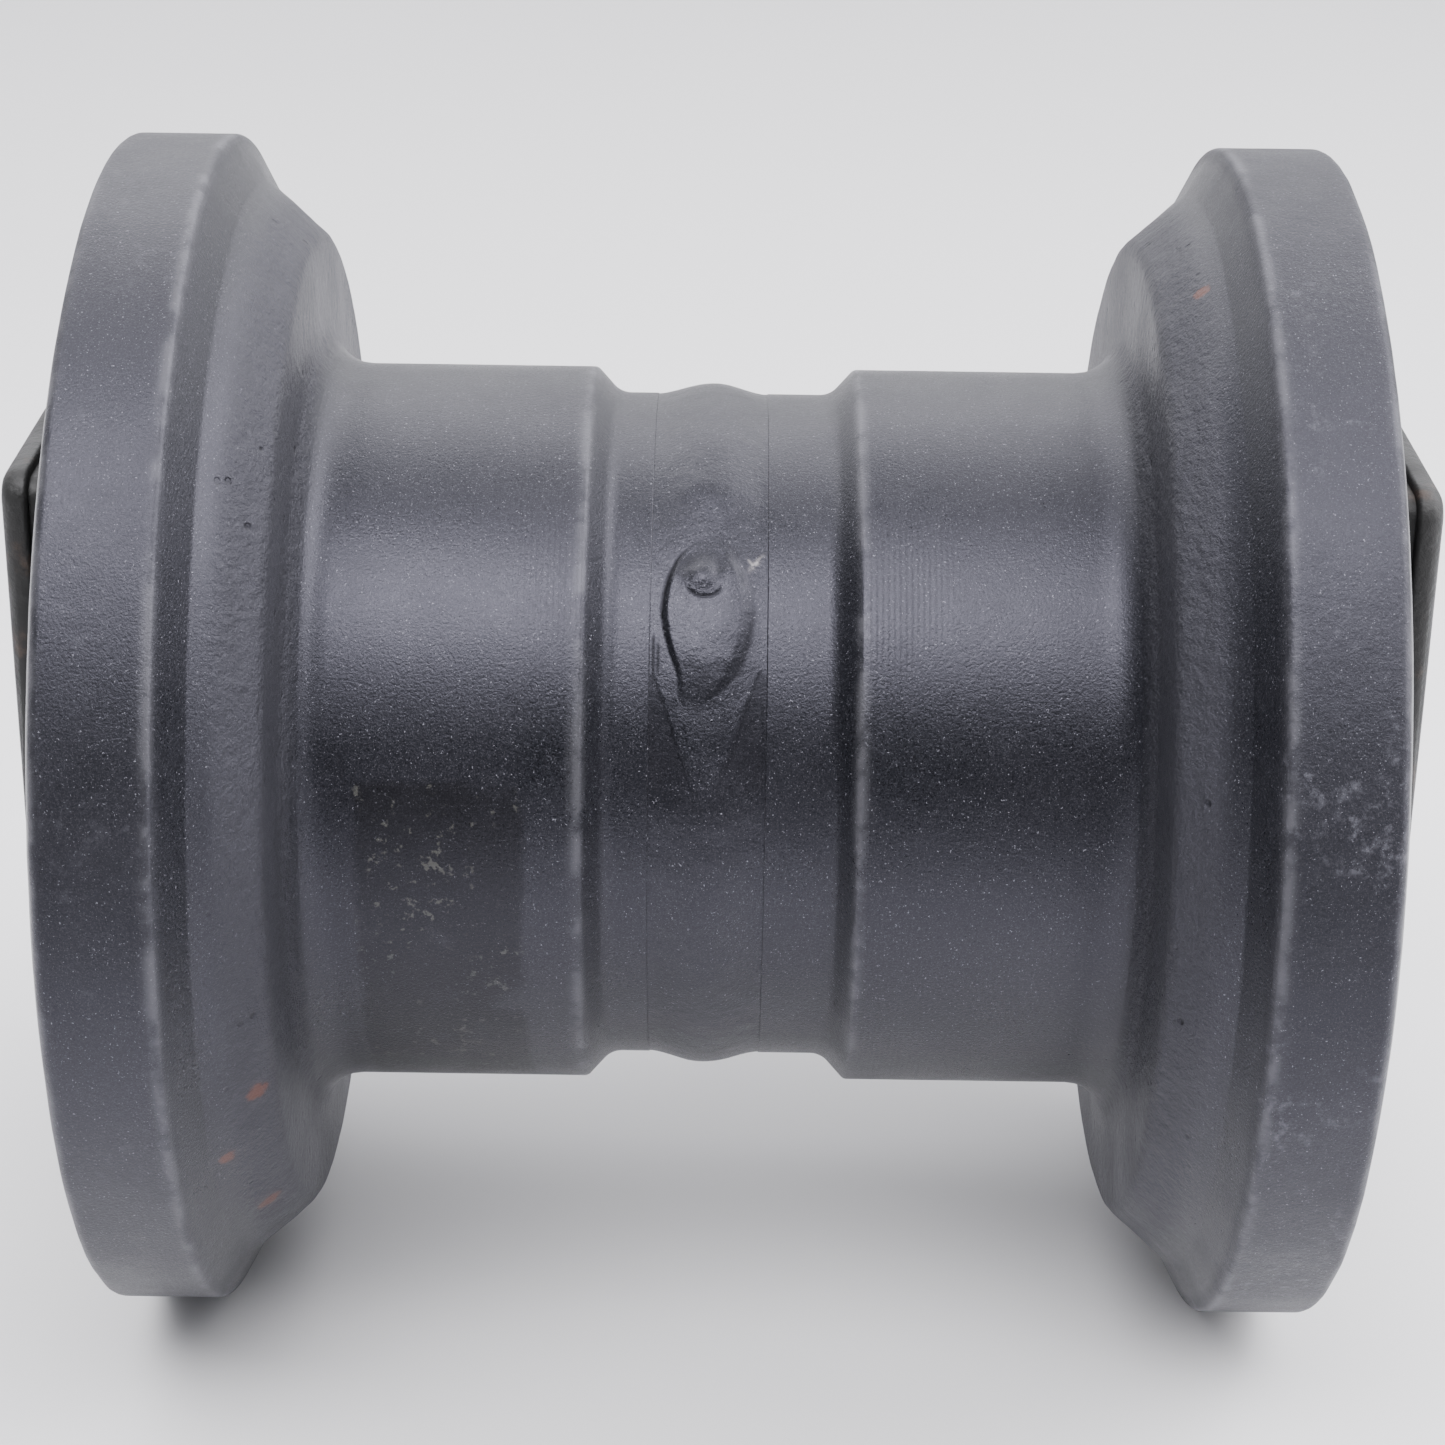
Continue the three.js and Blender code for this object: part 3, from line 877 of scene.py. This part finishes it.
def body_paint():
    """Dark slate paint over turned steel, with a pitted skin where the steel was left as forged."""
    p = Paint("body_paint")
    cast, rim, edge, lathe = (p.attribute(word) for word in ("cast", "rim", "edge", "lathe"))
    colour, roughness, normal = slate(p)
    colour = p.mix(p.product(cast, 0.6), colour, rgb(0.03, 0.03, 0.035))
    colour = p.mix(p.product(rim, 0.15), colour, rgb(0.035, 0.035, 0.04))

    # Scuffs on the right flange's rim, and wear with a painted highlight on the corners
    right = p.ramp(p.axis(0), 0.02, 0.03, 0.3, 1.0)
    scuff = p.product(p.ramp(p.noise(520, 6, 0.72), 0.5, 0.72), p.ramp(p.noise(55, 4, 0.6), 0.46, 0.62))
    colour = p.mix(p.product(scuff, rim, right, 0.75), colour, rgb(0.1, 0.1, 0.115))
    wear_and_highlight = p.product(edge, p.ramp(p.noise(160, 3, 0.6), 0.4, 0.6, 0.1, 0.6))
    colour = p.mix(wear_and_highlight, colour, rgb(0.11, 0.11, 0.12))

    # Stain with light flecks on the left tread, pits in the forged skin, and rust
    fleck = p.product(p.ramp(p.noise(620, 4, 0.65), 0.58, 0.66), p.ramp(p.noise(70, 2, 0.5), 0.44, 0.54))
    stain = p.mix(fleck, rgb(0.0035, 0.0034, 0.003), rgb(0.1, 0.1, 0.085))
    patch = p.ramp(p.product(p.attribute("stain"), p.noise(120, 5, 0.7)), 0.18, 0.5)
    colour = p.mix(p.product(patch, 0.55), colour, stain)
    pits = p.product(p.ramp(p.cells(330), 0.2, 0.1), p.ramp(p.noise(110, 2, 0.5), 0.54, 0.6), cast)
    colour = p.mix(pits, colour, rgb(0.003, 0.003, 0.004))
    rust = p.ramp(p.product(p.attribute("rust"), p.noise(900, 3, 0.6)), 0.16, 0.36)
    colour = p.mix(p.product(rust, 0.85), colour, rgb(0.11, 0.04, 0.022))

    # Relief: the cutter's feed and its fine marks on the treads, then the forged skin, dents and pits
    feed = p.math("SINE", p.product(p.axis(0), math.tau / (FEED * MM)))
    patchy = p.ramp(p.noise(60, 2, 0.5), 0.4, 0.6)
    normal = p.bump(p.product(feed, patchy, lathe), 0.4, 0.00004, normal)
    turned_marks = p.noise(1, 2, 0.6, p.stretched((900, 25, 25)))
    normal = p.bump(p.product(turned_marks, lathe), 0.2, 0.0001, normal)
    normal = p.bump(p.product(p.noise(620, 5, 0.7), cast), 0.85, 0.0008, normal)
    normal = p.bump(p.product(p.noise(180, 5, 0.65), rim, right), 0.35, 0.0006, normal)
    normal = p.bump(p.math("SUBTRACT", 0.0, pits), 0.8, 0.0004, normal)

    roughness = p.math("ADD", roughness, p.product(cast, 0.14))
    worn = p.math("ADD", 0.05, p.product(right, 0.1))
    roughness = p.math("ADD", roughness, p.product(rim, worn))
    p.link(p.math("SUBTRACT", 0.5, p.product(patch, 0.13)), p.shader.inputs["Specular IOR Level"])
    return p.done(colour, roughness, normal)


def weld_paint():
    """The same slate paint on the weld, with painted shade in its folds and hollows, and scraped in one
    small place.
    """
    p = Paint("weld_paint")
    colour, roughness, normal = slate(p)
    # The shade attribute is painted shade: it darkens the colour in the weld's folds, creases and hollows
    shade = p.attribute("shade")
    colour = p.mix(shade, colour, rgb(0.002, 0.002, 0.0025))
    scraped = p.product(p.attribute("edge"), p.ramp(p.noise(1500, 2, 0.6), 0.35, 0.55))
    colour = p.mix(scraped, colour, rgb(0.3, 0.28, 0.27))
    roughness = p.math("ADD", roughness, p.product(shade, 0.25))
    p.link(p.math("SUBTRACT", 0.5, p.product(shade, 0.4)), p.shader.inputs["Specular IOR Level"])
    return p.done(colour, roughness, p.bump(p.noise(320, 4, 0.6), 0.4, 0.0004, normal))


def collar_paint():
    """Dark paint over a casting, with rust coming through in patches."""
    p = Paint("collar_paint")
    blotch = p.noise(110, 5, 0.6)
    grain = p.noise(1100, 3, 0.6)
    colour = p.mix(blotch, rgb(0.007, 0.0075, 0.007), rgb(0.014, 0.014, 0.0135))
    rust = p.ramp(p.noise(150, 6, 0.65), 0.56, 0.7)
    colour = p.mix(p.product(rust, 0.7), colour, rgb(0.06, 0.04, 0.03))
    normal = p.bump(p.noise(420, 5, 0.65), 0.5, 0.0006)
    normal = p.bump(grain, 0.3, 0.00015, normal)
    return p.done(colour, p.ramp(blotch, 0.3, 0.7, 0.42, 0.6), normal)


def steel(name, base, low=0.22, high=0.36, stretch=(60, 900, 900)):
    """Bare or plated steel with fine marks."""
    p = Paint(name)
    marks = p.noise(1, 3, 0.6, p.stretched(stretch))
    stain = p.noise(140, 4, 0.6)
    dark = tuple(c * 0.62 for c in base)
    colour = p.mix(p.ramp(stain, 0.35, 0.7), rgb(*base), rgb(*dark))
    normal = p.bump(marks, 0.25, 0.00006)
    return p.done(colour, p.ramp(marks, 0.3, 0.7, low, high), normal, 1.0)


def bronze():
    p = Paint("bush_bronze")
    marks = p.noise(1, 3, 0.6, p.stretched((1600, 12, 12)))
    stain = p.noise(160, 4, 0.6)
    colour = p.mix(p.ramp(stain, 0.35, 0.7), rgb(0.6, 0.4, 0.17), rgb(0.42, 0.27, 0.12))
    return p.done(colour, p.ramp(marks, 0.3, 0.7, 0.25, 0.4), p.bump(marks, 0.3, 0.00008), 1.0)


def rubber():
    p = Paint("seal_rubber")
    dust = p.noise(260, 5, 0.6)
    colour = p.mix(p.ramp(dust, 0.45, 0.75), rgb(0.012, 0.012, 0.012), rgb(0.03, 0.03, 0.031))
    return p.done(colour, p.ramp(dust, 0.3, 0.7, 0.55, 0.75), p.bump(p.noise(1800, 2, 0.5), 0.3, 0.0001))


def floor_finish():
    """A pale floor to the camera; for all other rays its front is painted darker, as painted shade that the
    body's paint reflects.
    """
    p = Paint("floor")
    seen = p.tree.nodes.new("ShaderNodeLightPath").outputs["Is Camera Ray"]
    near = p.math("MAXIMUM", p.ramp(p.axis(1), -0.4, -0.1), seen)
    cloud = p.mix(p.noise(3, 3, 0.5), rgb(0.8, 0.8, 0.81), rgb(0.84, 0.84, 0.85))
    # Painted shade: dark in front for reflections and bounce, pale near the roller and to the camera
    colour = p.mix(near, rgb(0.27, 0.27, 0.28), cloud)
    return p.done(colour, 0.7, p.bump(p.noise(300, 2, 0.5), 0.05, 0.0005))


# ---- Putting the pieces in place ----


def add(obj, node, body, material):
    """Gives a piece its material, hides the CAD node it stands for and puts it on the body it rides."""
    obj.data.materials.clear()
    obj.data.materials.append(material)
    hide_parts(node)
    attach(obj, body)


def build():
    paint, weld, casting, dark = body_paint(), weld_paint(), collar_paint(), rubber()
    iron = steel("seal_iron", (0.4, 0.41, 0.42), 0.15, 0.3, (900, 60, 60))
    ground = steel("shaft_steel", (0.5, 0.51, 0.52))
    plated = steel("plug_steel", (0.45, 0.45, 0.43), 0.28, 0.42)
    black = steel("pin_steel", (0.12, 0.12, 0.125), 0.3, 0.45)
    copper = bronze()
    add(weld_bead("weld_run"), "weld_bead", BODY, weld)
    add(shaft("turned_shaft"), "shaft", STAND, ground)
    add(oil_plug("socket_plug"), "oil_plug", STAND, plated)
    for word, side in (("left", -1), ("right", 1)):
        add(shell_half(f"{word}_forging", side), f"{word}_shell_half", BODY, paint)
        add(bush(f"{word}_turned_bush", side), f"{word}_bush", BODY, copper)
        add(collar(f"{word}_end_collar", side), f"{word}_collar", STAND, casting)
        add(lock_pin(f"{word}_cross_pin", side), f"{word}_lock_pin", STAND, black)
        add(o_ring(f"{word}_shaft_o_ring", side), f"{word}_collar_o_ring", STAND, dark)
        for part, way, body in (("roller", -1, BODY), ("collar", 1, STAND)):
            ring_name, toric_name = f"{word}_{part}_seal_ring", f"{word}_{part}_seal_toric"
            add(seal_ring(f"{word}_{part}_lapped_ring", side, way), ring_name, body, iron)
            add(toric(f"{word}_{part}_toric_ring", side, way), toric_name, body, dark)


# ---- Floor, light and camera ----

LIGHT_TINT = (0.98, 0.97, 1.0)


def make_floor():
    half = 12.0
    z = CAD_BOX[0][2] - GAP * MM
    mesh = bpy.data.meshes.new("floor")
    corners = [(-half, -half, z), (half, -half, z), (half, half, z), (-half, half, z)]
    mesh.from_pydata(corners, [], [(0, 1, 2, 3)])
    obj = bpy.data.objects.new("floor", mesh)
    bpy.context.scene.collection.objects.link(obj)
    mesh.materials.append(floor_finish())


def softbox(name, azimuth, elevation, distance, width, height, power, spread=180):
    """A rectangular light that looks at the roller; azimuth 0 is the front, 90 the right end."""
    data = bpy.data.lights.new(name, "AREA")
    data.shape = "RECTANGLE"
    data.size = width
    data.size_y = height
    data.energy = power
    data.color = LIGHT_TINT
    data.spread = math.radians(spread)
    obj = bpy.data.objects.new(name, data)
    a, e = math.radians(azimuth), math.radians(elevation)
    place = Vector((math.sin(a) * math.cos(e), -math.cos(a) * math.cos(e), math.sin(e))) * distance
    obj.location = place
    obj.rotation_euler = place.to_track_quat("Z", "Y").to_euler()
    bpy.context.scene.collection.objects.link(obj)


def make_light():
    """Three softboxes and a sky that is brighter behind the roller, and plain white to the camera."""
    softbox("front_box", -14, 60, 1.2, 1.4, 0.72, 8.5, 80)
    softbox("right_box", 88, 36, 1.2, 1.0, 1.1, 27)
    softbox("back_box", 180, 50, 1.4, 2.4, 1.0, 20)
    world = bpy.data.worlds.new("studio")
    world.use_nodes = True
    nodes, links = world.node_tree.nodes, world.node_tree.links
    background = nodes["Background"]
    background.inputs["Color"].default_value = (0.96, 0.96, 1.0, 1.0)
    place = nodes.new("ShaderNodeTexCoord")
    parts = nodes.new("ShaderNodeSeparateXYZ")
    fade = nodes.new("ShaderNodeMapRange")
    fade.interpolation_type = "SMOOTHSTEP"
    for key, number in zip(RAMP_ENDS, (-0.6, 0.9, 0.09, 1.6)):
        fade.inputs[key].default_value = number
    links.new(place.outputs["Generated"], parts.inputs[0])
    links.new(parts.outputs["Y"], fade.inputs["Value"])
    sight = nodes.new("ShaderNodeLightPath")
    level = nodes.new("ShaderNodeMath")
    level.operation = "MAXIMUM"
    links.new(fade.outputs["Result"], level.inputs[0])
    links.new(sight.outputs["Is Camera Ray"], level.inputs[1])
    links.new(level.outputs[0], background.inputs["Strength"])
    bpy.context.scene.world = world


def make_camera():
    """Looks at the roller's middle from in front and above, a little rolled."""
    elevation, roll = math.radians(23.4), math.radians(0.83)
    distance = 0.466
    data = bpy.data.cameras.new("camera")
    data.sensor_width = 36
    data.lens = 83.2
    data.shift_x = 0.0022
    data.clip_start = 0.01
    data.clip_end = 20
    obj = bpy.data.objects.new("camera", data)
    place = Vector((0, -math.cos(elevation), math.sin(elevation))) * distance
    aim = place.to_track_quat("Z", "Y").to_matrix().to_4x4()
    obj.matrix_world = Matrix.Translation(place) @ aim @ Matrix.Rotation(roll, 4, "Z")
    bpy.context.scene.collection.objects.link(obj)
    bpy.context.scene.camera = obj


build()
make_floor()
make_light()
make_camera()
